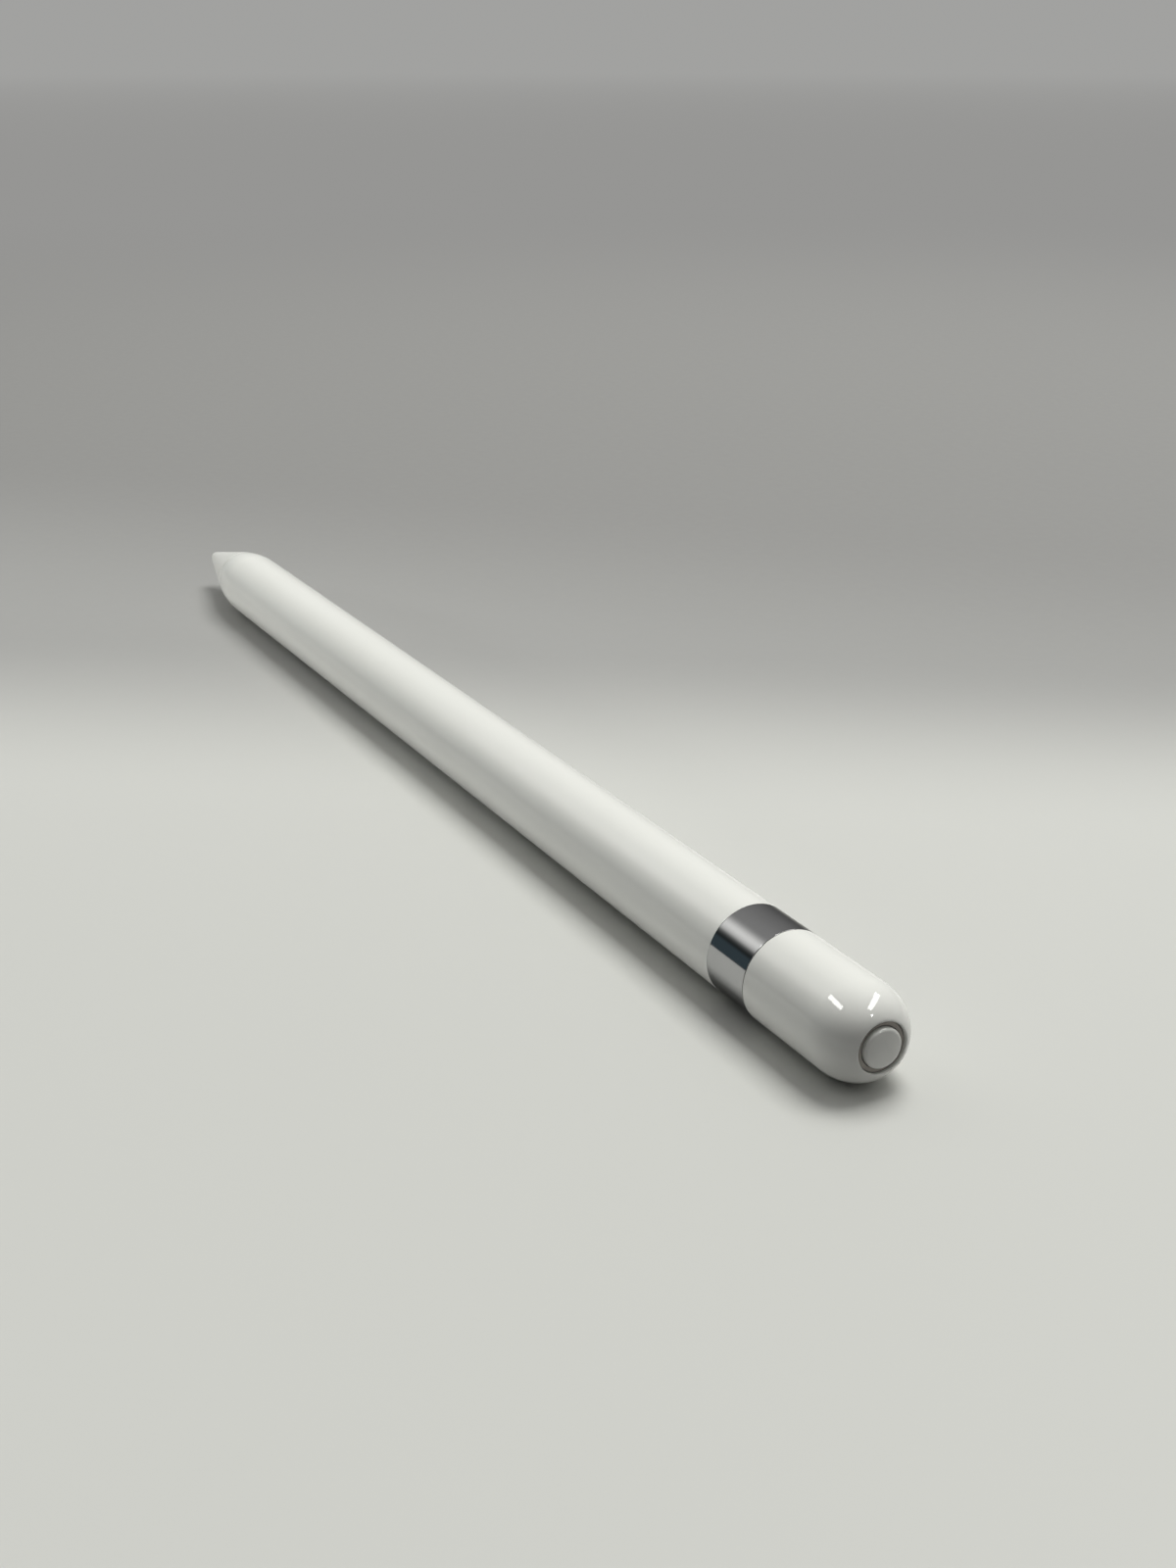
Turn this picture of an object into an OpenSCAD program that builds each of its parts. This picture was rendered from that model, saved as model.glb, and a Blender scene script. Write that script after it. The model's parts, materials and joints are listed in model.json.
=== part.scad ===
// Tablet stylus: a white gloss barrel with a screw-on nib, a polished metal band and a
// pull-off cap that hides the charging plug. All sizes are in millimetres.
// Every piece is drawn along +Z, as a distance "a" from the nib's point, with y as its up side.
// place() then lays it down: the nib points to -X and the barrel rests on the plane z = 0.

/* [Barrel] */
// Outside diameter of the barrel, the band and the cap
barrel_d = 8.9; // [8.7:0.1:11]
// Wall of the barrel
barrel_wall = 0.8; // [0.6:0.05:1]
// Length of the barrel, from the nib's seam to the band
barrel_len = 141; // [126:1:180]
// Length of the taper, from the nib's point to the full diameter
taper_len = 20; // [18:0.5:22]
// Radius that blends the taper into the barrel
blend_r = 30; // [22:1:45]
// Diameter of the narrow bore in the barrel's nose
nose_bore_d = 5.8; // [5.4:0.1:6.2]
// Length of the narrow bore in the barrel's nose
nose_len = 4.3; // [3.6:0.1:6]

/* [Nib] */
// Length of the nib that shows
nib_len = 14.5; // [13.5:0.5:16]
// Radius of the nib's point
tip_r = 0.9; // [0.6:0.05:1.2]
// Gap at the seam between the nib and the barrel, which lets the nib be pressed
seam_gap = 0.2; // [0.15:0.05:0.4]
// Outside diameter of the metal core in the nib
core_d = 4; // [3.7:0.1:4.3]
// How far the metal core stops short of the nib's point
core_tip = 3; // [2:0.5:5]
// How far the core's mouth lies inside the nib's base
core_recess = 0.4; // [0.2:0.1:0.8]
// Length of the core's conical shoulder
core_shoulder = 0.8; // [0.5:0.1:1.2]
// Diameter of the core's thin front rod
core_rod_d = 1; // [0.8:0.1:1.2]

/* [Pressure sensor] */
// Diameter of the threaded post that carries the nib
post_d = 3; // [2.6:0.1:3.2]
// Length of the post that stands out of the barrel's nose
post_reach = 5.4; // [4.6:0.1:6]
// Length of the thread on the post
thread_len = 3.6; // [3:0.1:4]
// Depth of the neck behind the thread
neck_depth = 0.25; // [0.15:0.05:0.4]
// Diameter of the post's tail behind the flexure
tail_d = 1.8; // [1.6:0.1:2.2]
// Diameter of the insulating tube in the post
insulator_d = 1.1; // [1:0.05:1.2]
// Diameter of the contact pin in the insulating tube
pin_d = 0.6; // [0.4:0.05:0.7]
// How far the contact pin stands out of the post
pin_proud = 0.15; // [0.1:0.05:0.2]
// Thickness of the flexure disc
flexure_t = 0.2; // [0.15:0.05:0.3]
// Thickness of the collar that holds the flexure on the post
collar_t = 0.8; // [0.5:0.1:1]
// Diameter of the collar that holds the flexure on the post
collar_d = 3.2; // [2.8:0.1:3.4]
// Length of the sensor housing
housing_len = 10; // [9:0.5:14]
// Wall of the sensor housing
housing_wall = 0.5; // [0.4:0.05:0.6]
// Distance from the front of the housing to the flexure
flexure_set = 3.5; // [3:0.1:4.5]
// Width of the flexure's clamped rim
rim_w = 0.5; // [0.4:0.05:0.6]
// Length of the ring that clamps the flexure
clamp_len = 1.5; // [1.4:0.1:2]
// Thickness of the flange on the nose bush
bush_flange = 1; // [0.8:0.1:1.5]
// How far the bush lies inside the barrel's nose
bush_recess = 0.3; // [0.2:0.1:0.6]
// Length of the ring electrode in the nose
electrode_len = 2.5; // [1.5:0.1:2.8]
// Wall of the ring electrode
electrode_t = 0.35; // [0.25:0.05:0.5]
// Thickness of the sensor's own circuit board
sensor_board_t = 0.5; // [0.4:0.1:0.8]
// Height of the two windows in the housing's sides
housing_window = 2; // [1.5:0.1:2.4]

/* [Electronics] */
// Wall of the steel inner frame, whose weight keeps the stylus from rolling
frame_wall = 0.5; // [0.4:0.05:0.6]
// How far the frame's edges stop below the axis
frame_drop = 0.3; // [0.2:0.1:0.8]
// Number of glue slots along the frame's bottom
frame_slots = 8; // [4:1:10]
// Length of each glue slot
frame_slot_len = 6; // [4:0.5:8]
// Width of each glue slot
frame_slot_w = 1.6; // [1:0.1:2]
// Length of the two folded circuit boards
board_len = 46; // [36:1:52]
// Thickness of each circuit board
board_t = 0.6; // [0.5:0.1:0.8]
// How far the lower board's underside lies below the axis
board_drop = 1.6; // [1.4:0.1:1.8]
// Gap between the two boards, which the shield fills
board_gap = 2; // [1.8:0.1:2.2]
// Length of the shield over the lower board
shield_len = 24; // [18:1:28]
// Thickness of the shield's sheet
shield_t = 0.2; // [0.15:0.05:0.3]
// Diameter of the vent holes in the shield
vent_d = 0.6; // [0.4:0.1:0.8]
// Distance from one vent hole to the next
vent_pitch = 2; // [1.5:0.1:3]
// Gap between the chips on a board
chip_gap = 1.2; // [0.8:0.1:1.6]
// Width of the flex that joins the two boards
fold_w = 2.4; // [2:0.1:2.6]
// Thickness of the flat cables
flex_t = 0.15; // [0.1:0.05:0.25]
// Width of the flat cables
flex_w = 3; // [2:0.1:3.4]
// Length of the flat cable that lies on a board or on the plug's root
cable_overlap = 3; // [2:0.5:4]
// Length of the battery
battery_len = 42; // [34:1:48]
// Thickness of the insulating cap on the battery
battery_cap_t = 0.6; // [0.4:0.1:1]
// Width of each battery tab
tab_w = 0.8; // [0.5:0.1:0.9]
// Diameter of the antenna's coaxial lead
coax_d = 0.5; // [0.4:0.05:0.55]
// Length of the holder that carries the antenna
holder_len = 12; // [10:0.5:15]
// Wall of the antenna holder
holder_wall = 0.8; // [0.6:0.1:0.9]
// Thickness of the antenna sheet
antenna_t = 0.12; // [0.08:0.02:0.14]
// Angle that the antenna covers
antenna_angle = 130; // [90:5:160]
// Angle of the slot that tunes the antenna
antenna_slot_angle = 24; // [12:2:40]

/* [Band and plug] */
// Width of the polished band
band_w = 5.8; // [5:0.1:8]
// Wall of the polished band
band_wall = 0.5; // [0.4:0.05:0.6]
// Length of the carrier inside the barrel
carrier_len = 5.7; // [5:0.1:8]
// Length of the spigot that the cap slides over
spigot_len = 1.5; // [1.2:0.1:2]
// Radius round the spigot's rim
spigot_edge = 0.3; // [0.1:0.05:0.4]
// Width of the plug
plug_w = 6.65; // [6.2:0.05:6.8]
// Thickness of the plug
plug_t = 1.5; // [1.3:0.05:1.6]
// Length of the plug outside its carrier
plug_len = 7.7; // [7:0.1:8.2]
// Radius of the plug's front corners
plug_corner_r = 1.2; // [0.9:0.1:1.4]
// Radius round the plug's edges
plug_edge_r = 0.5; // [0.4:0.05:0.6]
// Width of the plug's root in its carrier
root_w = 5.6; // [5.2:0.1:5.8]
// Length of the plug's root in its carrier
root_len = 11; // [10:0.5:12]
// Number of contacts on each side of the plug
contact_count = 8; // [4:1:8]
// Distance from one contact to the next
contact_pitch = 0.58; // [0.5:0.01:0.62]
// Width of each contact
contact_w = 0.36; // [0.3:0.02:0.42]
// Length of each contact
contact_len = 2.2; // [1.8:0.1:2.6]
// Depth of the window that holds the contacts
window_depth = 0.25; // [0.2:0.05:0.35]
// How far the window starts behind the plug's front edge
window_inset = 1.1; // [0.9:0.1:1.4]
// Thickness of the contacts above the black plate that carries them
contact_t = 0.05; // [0.04:0.01:0.08]
// Height of each magnet's flat side above the axis
magnet_flat = 1.4; // [1.3:0.05:1.6]
// Wall of the carrier outside the magnets
magnet_wall = 0.4; // [0.3:0.05:0.6]
// Wall of the carrier between the magnets and the cap's seam
magnet_cover = 1; // [0.8:0.1:1.5]

/* [Cap] */
// Length of the cap
cap_len = 14.1; // [13.6:0.1:18]
// Gap at the seam between the cap and the band
cap_gap = 0.1; // [0.05:0.05:0.2]
// Wall of the cap
cap_wall = 0.7; // [0.65:0.05:0.8]
// Bevel inside the cap's mouth, which leads it over the spigot
mouth_bevel = 0.15; // [0.1:0.05:0.2]
// Length of the cap's domed end
dome_len = 4.4; // [3.8:0.1:5]
// Radius of the flat middle of the domed end
dome_flat_r = 1.25; // [0.9:0.05:1.6]
// Thickness of the cap's end wall, between its hollow and the end disc
cap_end_t = 1.1; // [0.8:0.1:1.4]
// Depth of the round pocket in the cap's end
pocket_depth = 1.7; // [1.5:0.1:1.9]
// Diameter of the end disc
disc_d = 3.6; // [3.2:0.1:4]
// Width of the groove around the end disc, which the trim ring fills
groove_w = 0.48; // [0.35:0.01:0.55]
// How far the trim ring lies below the cap's end
ring_recess = 0.55; // [0.45:0.05:0.8]
// How far the middle of the end disc bulges
disc_crown = 0.08; // [0.04:0.01:0.12]
// Radius round the end disc's rim
disc_rim = 0.3; // [0.15:0.05:0.4]
// Length of the steel ring in the cap's mouth
cap_ring_len = 3; // [2.5:0.1:4]
// Wall of the steel ring in the cap's mouth
cap_ring_wall = 0.35; // [0.3:0.05:0.4]
// How far the steel ring lies inside the cap's mouth
cap_ring_recess = 0.4; // [0.2:0.1:0.6]
// How far the steel ring is let into the cap's wall
cap_ring_sink = 0.2; // [0.15:0.05:0.25]

/* [Clearances] */
// Gap all round a piece that is glued or pressed into its seat
fit = 0.05; // [0.03:0.01:0.06]
// Gap all round a piece that slides or turns in its seat
run = 0.03; // [0.02:0.01:0.05]
// Gap all round the post in the core's thread
thread_clear = 0.05; // [0.04:0.01:0.06]
// Gap between pieces that lie end to end
end_gap = 0.2; // [0.15:0.05:0.3]

/* [Hidden] */
$fn = 96;
cut = 1;

// Radii that follow from the diameters and walls
barrel_r = barrel_d / 2;
bore_r = barrel_r - barrel_wall;
seat_r = bore_r - fit;
nose_r = nose_bore_d / 2;
post_r = post_d / 2;
tail_r = tail_d / 2;
housing_r = seat_r - housing_wall;
frame_r = seat_r - frame_wall;
band_seat_r = barrel_r - band_wall - fit;
cap_bore_r = barrel_r - cap_wall;
cap_seat_r = cap_bore_r + cap_ring_sink;
cap_ring_r = cap_seat_r - run;
cap_ring_bore_r = cap_ring_r - cap_ring_wall;
spigot_r = cap_ring_bore_r - run;
magnet_r = seat_r - magnet_wall;

// Stations along the axis, from the nib's point to the cap's end
nose_a = nib_len + seam_gap;
shoulder_a = nose_a + nose_len;
housing_a = shoulder_a + bush_flange;
flexure_a = housing_a + flexure_set;
clamp_a = flexure_a + flexure_t;
sensor_board_a = clamp_a + clamp_len;
frame_a = housing_a + housing_len;
board_a = frame_a + end_gap;
board_end_a = board_a + board_len;
band_a = nose_a + barrel_len;
seam_a = band_a + band_w;
carrier_a = band_a - carrier_len;
holder_a = carrier_a - holder_len;
spigot_a = seam_a + spigot_len;
root_a = spigot_a - root_len;
magnet_end_a = seam_a - magnet_cover;
plug_end_a = spigot_a + plug_len;
cap_a = seam_a + cap_gap;
cap_ring_a = cap_a + cap_ring_recess;
cap_ring_end_a = cap_ring_a + cap_ring_len;
total_len = cap_a + cap_len;

// The nib's post and core
post_a = nose_a - post_reach;
tail_end_a = sensor_board_a - end_gap;
core_mouth_a = nib_len - core_recess;
core_floor_a = post_a - pin_proud - run;
core_front_a = core_floor_a - core_shoulder;

// Heights of the boards, and widths that the round space leaves them
lower_top_y = board_t - board_drop;
upper_y = lower_top_y + board_gap;
upper_top_y = upper_y + board_t;
lower_w = 2 * sqrt(pow(frame_r - 2 * fit, 2) - pow(board_drop, 2));
upper_w = 2 * sqrt(pow(bore_r - 2 * fit, 2) - pow(upper_top_y, 2));
shield_w = min(lower_w, upper_w) - 2 * tab_w;
shield_a = board_a + (board_len - shield_len) / 2;
shield_end_a = shield_a + shield_len;
fold_r = board_gap / 2 + board_t / 2;
fold_y = lower_top_y + board_gap / 2;

// The battery lies in the frame, with the long cable on top
battery_r = frame_r - end_gap;
battery_y = fit - end_gap;
battery_a = board_end_a + fold_r + flex_t + battery_cap_t + end_gap;
battery_end_a = battery_a + battery_len;
cable_y = battery_y + battery_r + fit;
slot_y = plug_t / 2 + run;

// The coaxial lead lies beside the battery, up against the barrel
coax_angle = 45;
coax_r = bore_r - fit - coax_d / 2;
coax_x = coax_r * cos(coax_angle);
coax_y = coax_r * sin(coax_angle);
socket_d = coax_d + 0.4;
socket_h = coax_y - coax_d / 2 - upper_top_y;
coax_a = board_end_a - 8;

// The cap's end
pocket_r = disc_d / 2 + groove_w;
pocket_a = total_len - pocket_depth;
cap_floor_a = pocket_a - cap_end_t;

// The taper: a straight cone that touches the round point and the blend arc
taper_run = taper_len - tip_r;
taper_rise = blend_r - barrel_r;
taper_angle = atan2(taper_run, taper_rise)
    - acos((blend_r - tip_r) / norm([taper_run, taper_rise]));
cone_start_a = tip_r * (1 - sin(taper_angle));
cone_end_a = taper_len - blend_r * sin(taper_angle);

// Outside radius of the nib and barrel at a distance a from the point
function taper_radius(a) =
    a < cone_start_a ? sqrt(max(0, tip_r * tip_r - pow(tip_r - a, 2))) :
    a < cone_end_a ? tip_r * cos(taper_angle) + (a - cone_start_a) * tan(taper_angle) :
    a < taper_len ? barrel_r - blend_r + sqrt(blend_r * blend_r - pow(taper_len - a, 2)) :
    barrel_r;

// Points [radius, a] on the blend arc between two stations
function blend_points(from, to, steps) =
    [for (i = [0 : steps]) let (a = from + (to - from) * i / steps) [taper_radius(a), a]];

// Points on the round tip, from the axis to the start of the cone
function tip_points(steps) =
    [for (i = [0 : steps]) let (t = (90 - taper_angle) * i / steps)
        [tip_r * sin(t), tip_r * (1 - cos(t))]];

// Points on the cap's domed end, a quarter ellipse from the side to the flat middle
function dome_points(steps) =
    [for (i = [0 : steps]) let (t = 90 * i / steps)
        [dome_flat_r + (barrel_r - dome_flat_r) * cos(t), total_len - dome_len * (1 - sin(t))]];

// Points [radius, a] round the rim of a flat end
function rim_points(r, end, edge) =
    [for (t = [0 : 15 : 90]) [r - edge * (1 - cos(t)), end - edge * (1 - sin(t))]];

module place() {
    translate([-total_len / 2, 0, barrel_r]) rotate([90, 0, 90]) children();
}

module rod(r, from, to) {
    translate([0, 0, from]) cylinder(r = r, h = to - from);
}

module tube(r_out, r_in, from, to) {
    difference() {
        rod(r_out, from, to);
        rod(r_in, from - cut, to + cut);
    }
}

// A block from corner [x, y, a] low to high, centred on x
module slab(w, y_low, y_high, from, to) {
    translate([-w / 2, y_low, from]) cube([w, y_high - y_low, to - from]);
}

// A flat cable that follows [a, y] points along its underside
module ribbon(path, thickness, width) {
    top = [for (p = path) [p[0], p[1] + thickness]];
    reversed = [for (i = [len(top) - 1 : -1 : 0]) top[i]];
    rotate([0, -90, 0]) linear_extrude(width, center = true)
        polygon(concat(path, reversed));
}

module rounded_rectangle(w, h, r) {
    square([w - 2 * r, h], center = true);
    square([w, h - 2 * r], center = true);
    for (x = [-1, 1], y = [-1, 1])
        translate([x * (w / 2 - r), y * (h / 2 - r)]) circle(r);
}

// A slot with round ends, long in its second direction
module stadium(w, length) {
    straight = length - w;
    square([w, straight], center = true);
    for (y = [-1, 1])
        translate([0, y * straight / 2]) circle(w / 2);
}

// A slot along part of a circle, centred on an angle
module arc_slot(r_in, r_out, angle, centre) {
    reach = 2 * r_out;
    rotate(centre) intersection() {
        difference() {
            circle(r_out);
            circle(r_in);
        }
        polygon([[0, 0], [reach * cos(angle / 2), -reach * sin(angle / 2)], [reach, 0],
            [reach * cos(angle / 2), reach * sin(angle / 2)]]);
    }
}

// The long white tube, with the back of the taper and a stepped bore
module barrel() {
    color("whitesmoke") place() difference() {
        rotate_extrude() polygon(concat(
            [[0, nose_a]],
            blend_points(nose_a, taper_len, 10),
            [[barrel_r, band_a], [0, band_a]]
        ));
        rod(nose_r, nose_a - cut, shoulder_a + cut);
        rod(bore_r, shoulder_a, band_a + cut);
    }
}

// The core's outline, grown by a gap where the shell is moulded round it
module core_outline(gap) {
    rod_r = core_rod_d / 2 + gap;
    body_r = core_d / 2 + gap;
    polygon([
        [0, core_tip - gap], [rod_r, core_tip - gap], [rod_r, core_front_a - core_shoulder],
        [body_r, core_front_a], [body_r, core_mouth_a], [0, core_mouth_a]
    ]);
}

// The white point that wears and is replaced
module nib_shell() {
    color("whitesmoke") place() difference() {
        rotate_extrude() polygon(concat(
            tip_points(8),
            blend_points(cone_end_a, nib_len, 4),
            [[0, nib_len]]
        ));
        rotate_extrude() core_outline(run);
        rod(core_d / 2 + run, core_mouth_a - cut, nib_len + cut);
    }
}

// Threaded metal core of the nib, which carries the signal to the point
module nib_core() {
    color("goldenrod") place() difference() {
        rotate_extrude() core_outline(0);
        rod(post_r + thread_clear, core_floor_a, core_mouth_a + cut);
    }
}

// Shaft that the nib screws onto and that passes its force to the flexure
module sensor_post() {
    chamfer = neck_depth;
    thread_a = post_a + chamfer;
    neck_a = thread_a + thread_len;
    color("silver") place() difference() {
        rotate_extrude() polygon([
            [0, post_a], [post_r - chamfer, post_a], [post_r, thread_a], [post_r, neck_a],
            [post_r - neck_depth, neck_a + neck_depth], [post_r - neck_depth, nose_a],
            [post_r, nose_a + neck_depth], [post_r, flexure_a], [tail_r, flexure_a],
            [tail_r, tail_end_a], [0, tail_end_a]
        ]);
        rod(insulator_d / 2 + run, post_a - cut, tail_end_a + cut);
    }
}

// Insulating tube between the post and the contact pin
module post_insulator() {
    color("tan") place() tube(insulator_d / 2, pin_d / 2 + run, post_a, tail_end_a);
}

// Pin that touches the floor of the nib's core
module contact_pin() {
    color("gold") place() rod(pin_d / 2, post_a - pin_proud, tail_end_a);
}

// Collar on the post's tail, behind the flexure
module post_collar() {
    color("silver") place() tube(collar_d / 2, tail_r + run, clamp_a, clamp_a + collar_t);
}

// Flanged bush that guides the post in the barrel's nose
module nose_bush() {
    bush_a = nose_a + bush_recess;
    step_a = bush_a + electrode_len;
    sleeve_r = nose_r - 2 * fit - electrode_t;
    color("dimgray") place() difference() {
        union() {
            rod(sleeve_r, bush_a, step_a);
            rod(nose_r - fit, step_a, shoulder_a);
            rod(seat_r, shoulder_a, housing_a);
        }
        rod(post_r + run, bush_a - cut, housing_a + cut);
    }
}

// Ring electrode on the bush, which senses how far the stylus leans
module tilt_electrode() {
    bush_a = nose_a + bush_recess;
    color("peru") place()
        tube(nose_r - fit, nose_r - fit - electrode_t, bush_a, bush_a + electrode_len);
}

// Steel cup that holds the flexure
module sensor_housing() {
    color("lightsteelblue") place() difference() {
        rod(seat_r, housing_a, frame_a);
        rod(housing_r - rim_w, housing_a - cut, flexure_a + cut);
        rod(housing_r, flexure_a, frame_a + cut);
        slab(4 * seat_r, -housing_window / 2, housing_window / 2,
            sensor_board_a + sensor_board_t + 2 * housing_wall, frame_a - 2 * housing_wall);
    }
}

// Slotted disc spring: its rim is clamped and its hub moves with the post
module sensor_flexure() {
    rim_r = housing_r - fit;
    hub_r = collar_d / 2;
    arm_w = (rim_r - rim_w - hub_r) / 3;
    slot_span = 100;
    color("gainsboro") place() translate([0, 0, flexure_a]) linear_extrude(flexure_t)
        difference() {
            circle(rim_r);
            circle(tail_r + run);
            for (i = [0 : 2]) {
                arc_slot(hub_r, hub_r + arm_w, slot_span, 120 * i);
                arc_slot(hub_r + 2 * arm_w, hub_r + 3 * arm_w, slot_span, 120 * i + 60);
            }
        }
}

// Ring that holds the flexure's rim in the housing
module flexure_clamp() {
    color("gray") place()
        tube(housing_r - fit, housing_r - rim_w, clamp_a, sensor_board_a);
}

// Small round board that reads the flexure
module sensor_board() {
    color("seagreen") place()
        rod(housing_r - fit, sensor_board_a, sensor_board_a + sensor_board_t);
}

// Flat cable from the sensor's board to the lower circuit board
module sensor_cable() {
    y = lower_top_y - board_t / 2 - flex_t / 2;
    color("darkorange") place()
        ribbon([[sensor_board_a + sensor_board_t, y], [board_a, y]], flex_t, flex_w);
}

// Half-round steel channel that carries the boards and the battery
module inner_frame() {
    color("slategray") place() difference() {
        tube(seat_r, frame_r, frame_a, holder_a);
        slab(4 * seat_r, -frame_drop, 2 * seat_r, frame_a - cut, holder_a + cut);
        for (i = [0 : frame_slots - 1])
            translate([0, 0, frame_a + (i + 0.5) * (holder_a - frame_a) / frame_slots])
                rotate([90, 0, 0]) linear_extrude(2 * seat_r) stadium(frame_slot_w, frame_slot_len);
    }
}

module lower_board() {
    color("darkgreen") place() slab(lower_w, -board_drop, lower_top_y, board_a, board_end_a);
}

module upper_board() {
    color("darkgreen") place() slab(upper_w, upper_y, upper_top_y, board_a, board_end_a);
}

// Flex that folds one board over the other
module board_fold() {
    color("darkorange") place() translate([0, fold_y, board_end_a]) rotate([0, -90, 0])
        linear_extrude(fold_w, center = true) difference() {
            circle(fold_r + flex_t / 2);
            circle(fold_r - flex_t / 2);
            translate([-4 * fold_r, -2 * fold_r]) square(4 * fold_r);
        }
}

// Sheet-metal can between the boards, open on its underside and vented on top
module board_shield() {
    vents = floor((shield_len - vent_pitch) / vent_pitch);
    first_a = (shield_a + shield_end_a - (vents - 1) * vent_pitch) / 2;
    color("lightgray") place() difference() {
        slab(shield_w, lower_top_y, upper_y, shield_a, shield_end_a);
        slab(shield_w - 2 * shield_t, lower_top_y - cut, upper_y - shield_t,
            shield_a + shield_t, shield_end_a - shield_t);
        for (i = [0 : vents - 1], x = [-1, 1])
            translate([x * shield_w / 4, upper_y + cut, first_a + i * vent_pitch])
                rotate([90, 0, 0]) cylinder(d = vent_d, h = shield_t + 2 * cut);
    }
}

// A row of chips, each [length, width, height], laid one after another on a board
module chip_row(chips, y, from) {
    for (i = [0 : len(chips) - 1]) {
        before = [for (k = [0 : i]) k == 0 ? 0 : chips[k - 1][0] + chip_gap];
        start = from + before * [for (k = before) 1];
        slab(chips[i][1], y, y + chips[i][2], start, start + chips[i][0]);
    }
}

// Chips and small parts on both boards, and the socket of the antenna's lead
module board_chips() {
    upper_chips = [[4.2, 3, 0.6], [3, 3, 0.5], [2.4, 2, 0.5], [2, 1.6, 0.4], [1.6, 1.2, 0.4]];
    shielded_chips = [[5, 2.4, 0.9], [3.2, 2.4, 0.7], [2.4, 1.8, 0.7]];
    small_len = 0.6;
    small_w = 0.35;
    small_parts = 10;
    color("black") place() {
        chip_row(upper_chips, upper_top_y, board_a + chip_gap);
        chip_row(shielded_chips, lower_top_y, shield_a + chip_gap);
        for (i = [0 : small_parts - 1], x = [-1, 1])
            translate([x * (upper_w / 2 - 2 * small_w), 0, board_a + chip_gap * (i + 1)])
                slab(small_w, upper_top_y, upper_top_y + small_w, 0, small_len);
        translate([coax_x - socket_d / 2, upper_top_y, coax_a])
            cube([socket_d, socket_h, socket_d]);
    }
}

// Slim cylindrical cell with a rolled groove near its front
module battery_cell() {
    groove_a = battery_a + 2;
    groove_w = 0.6;
    groove_depth = 0.25;
    color("lightgray") place() translate([0, battery_y, 0]) difference() {
        rod(battery_r, battery_a, battery_end_a);
        tube(battery_r + cut, battery_r - groove_depth, groove_a, groove_a + groove_w);
    }
}

// Insulating cap on the battery's front
module battery_cap() {
    color("black") place() translate([0, battery_y, 0])
        rod(battery_r - fit, battery_a - battery_cap_t, battery_a);
}

// Two nickel strips from the battery to the lower board
module battery_tabs() {
    tab_x = fold_w / 2 + end_gap + tab_w / 2;
    color("silver") place() for (side = [-1, 1])
        translate([side * tab_x, 0, 0])
            slab(tab_w, lower_top_y, lower_top_y + flex_t,
                board_end_a - cable_overlap, battery_a - battery_cap_t);
}

// Long flat cable over the battery, from the upper board to the plug
module spine_cable() {
    slope = 4;
    rise_a = battery_a - battery_cap_t - end_gap / 2;
    color("darkorange") place() ribbon([
        [board_end_a - cable_overlap, upper_top_y], [board_end_a, upper_top_y],
        [rise_a, cable_y], [battery_end_a, cable_y],
        [min(battery_end_a + slope, holder_a), slot_y], [root_a + cable_overlap, slot_y]
    ], flex_t, flex_w);
}

// Coaxial lead from the upper board to the antenna
module antenna_coax() {
    color("black") place() translate([coax_x, coax_y, 0]) rod(coax_d / 2, coax_a, holder_a);
}

// Plastic tube that the antenna is wrapped round
module antenna_holder() {
    holder_r = seat_r - antenna_t - fit;
    color("dimgray") place() tube(holder_r, holder_r - holder_wall, holder_a, carrier_a);
}

// Thin metal sheet over the upper side of its holder, tuned by a slot from one end
module antenna() {
    margin = 1;
    sheet_len = holder_len - 2 * margin;
    color("peru") place() translate([0, 0, holder_a + margin]) difference() {
        linear_extrude(sheet_len) arc_slot(seat_r - antenna_t, seat_r, antenna_angle, 90);
        translate([0, 0, sheet_len / 2]) linear_extrude(sheet_len)
            arc_slot(seat_r - antenna_t - cut, seat_r + cut, antenna_slot_angle, 90);
    }
}

// Half of the space between the plug's slot and the carrier's wall
module magnet_segment(r, gap, from, to) {
    intersection() {
        rod(r - gap, from, to);
        slab(4 * r, magnet_flat + gap, 2 * r, from - cut, to + cut);
    }
}

// Moulding in the barrel's end: it holds the plug, the magnets and the band
module plug_carrier() {
    color("whitesmoke") place() difference() {
        union() {
            rod(seat_r, carrier_a, band_a);
            rod(band_seat_r, band_a, seam_a);
            rotate_extrude() polygon(concat(
                [[0, seam_a], [spigot_r, seam_a]],
                rim_points(spigot_r, spigot_a, spigot_edge),
                [[0, spigot_a]]
            ));
        }
        slab(root_w + 2 * fit, -plug_t / 2 - fit, plug_t / 2 + fit,
            carrier_a - cut, spigot_a + cut);
        slab(flex_w + 2 * fit, 0, slot_y + flex_t + fit,
            carrier_a - cut, root_a + cable_overlap + fit);
        for (side = [0, 180])
            rotate(side) magnet_segment(magnet_r, 0, carrier_a - cut, magnet_end_a);
    }
}

// Two magnets that hold the cap by its steel ring
module carrier_magnets() {
    color("silver") place() for (side = [0, 180])
        rotate(side) magnet_segment(magnet_r, fit, carrier_a + end_gap, magnet_end_a);
}

// Polished ring between the barrel and the cap
module band() {
    color("gainsboro") place() tube(barrel_r, barrel_r - band_wall, band_a, seam_a);
}

// Window in the plug's two faces, where the contacts lie
module plug_window(gap, depth) {
    floor_y = plug_t / 2 - window_depth;
    window_w = contact_count * contact_pitch + contact_pitch - contact_w;
    window_len = contact_len + 2 * (contact_pitch - contact_w);
    window_end = plug_end_a - window_inset;
    for (side = [0, 180])
        rotate(side) slab(window_w - 2 * gap, floor_y, floor_y + depth,
            window_end - window_len + gap, window_end - gap);
}

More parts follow.
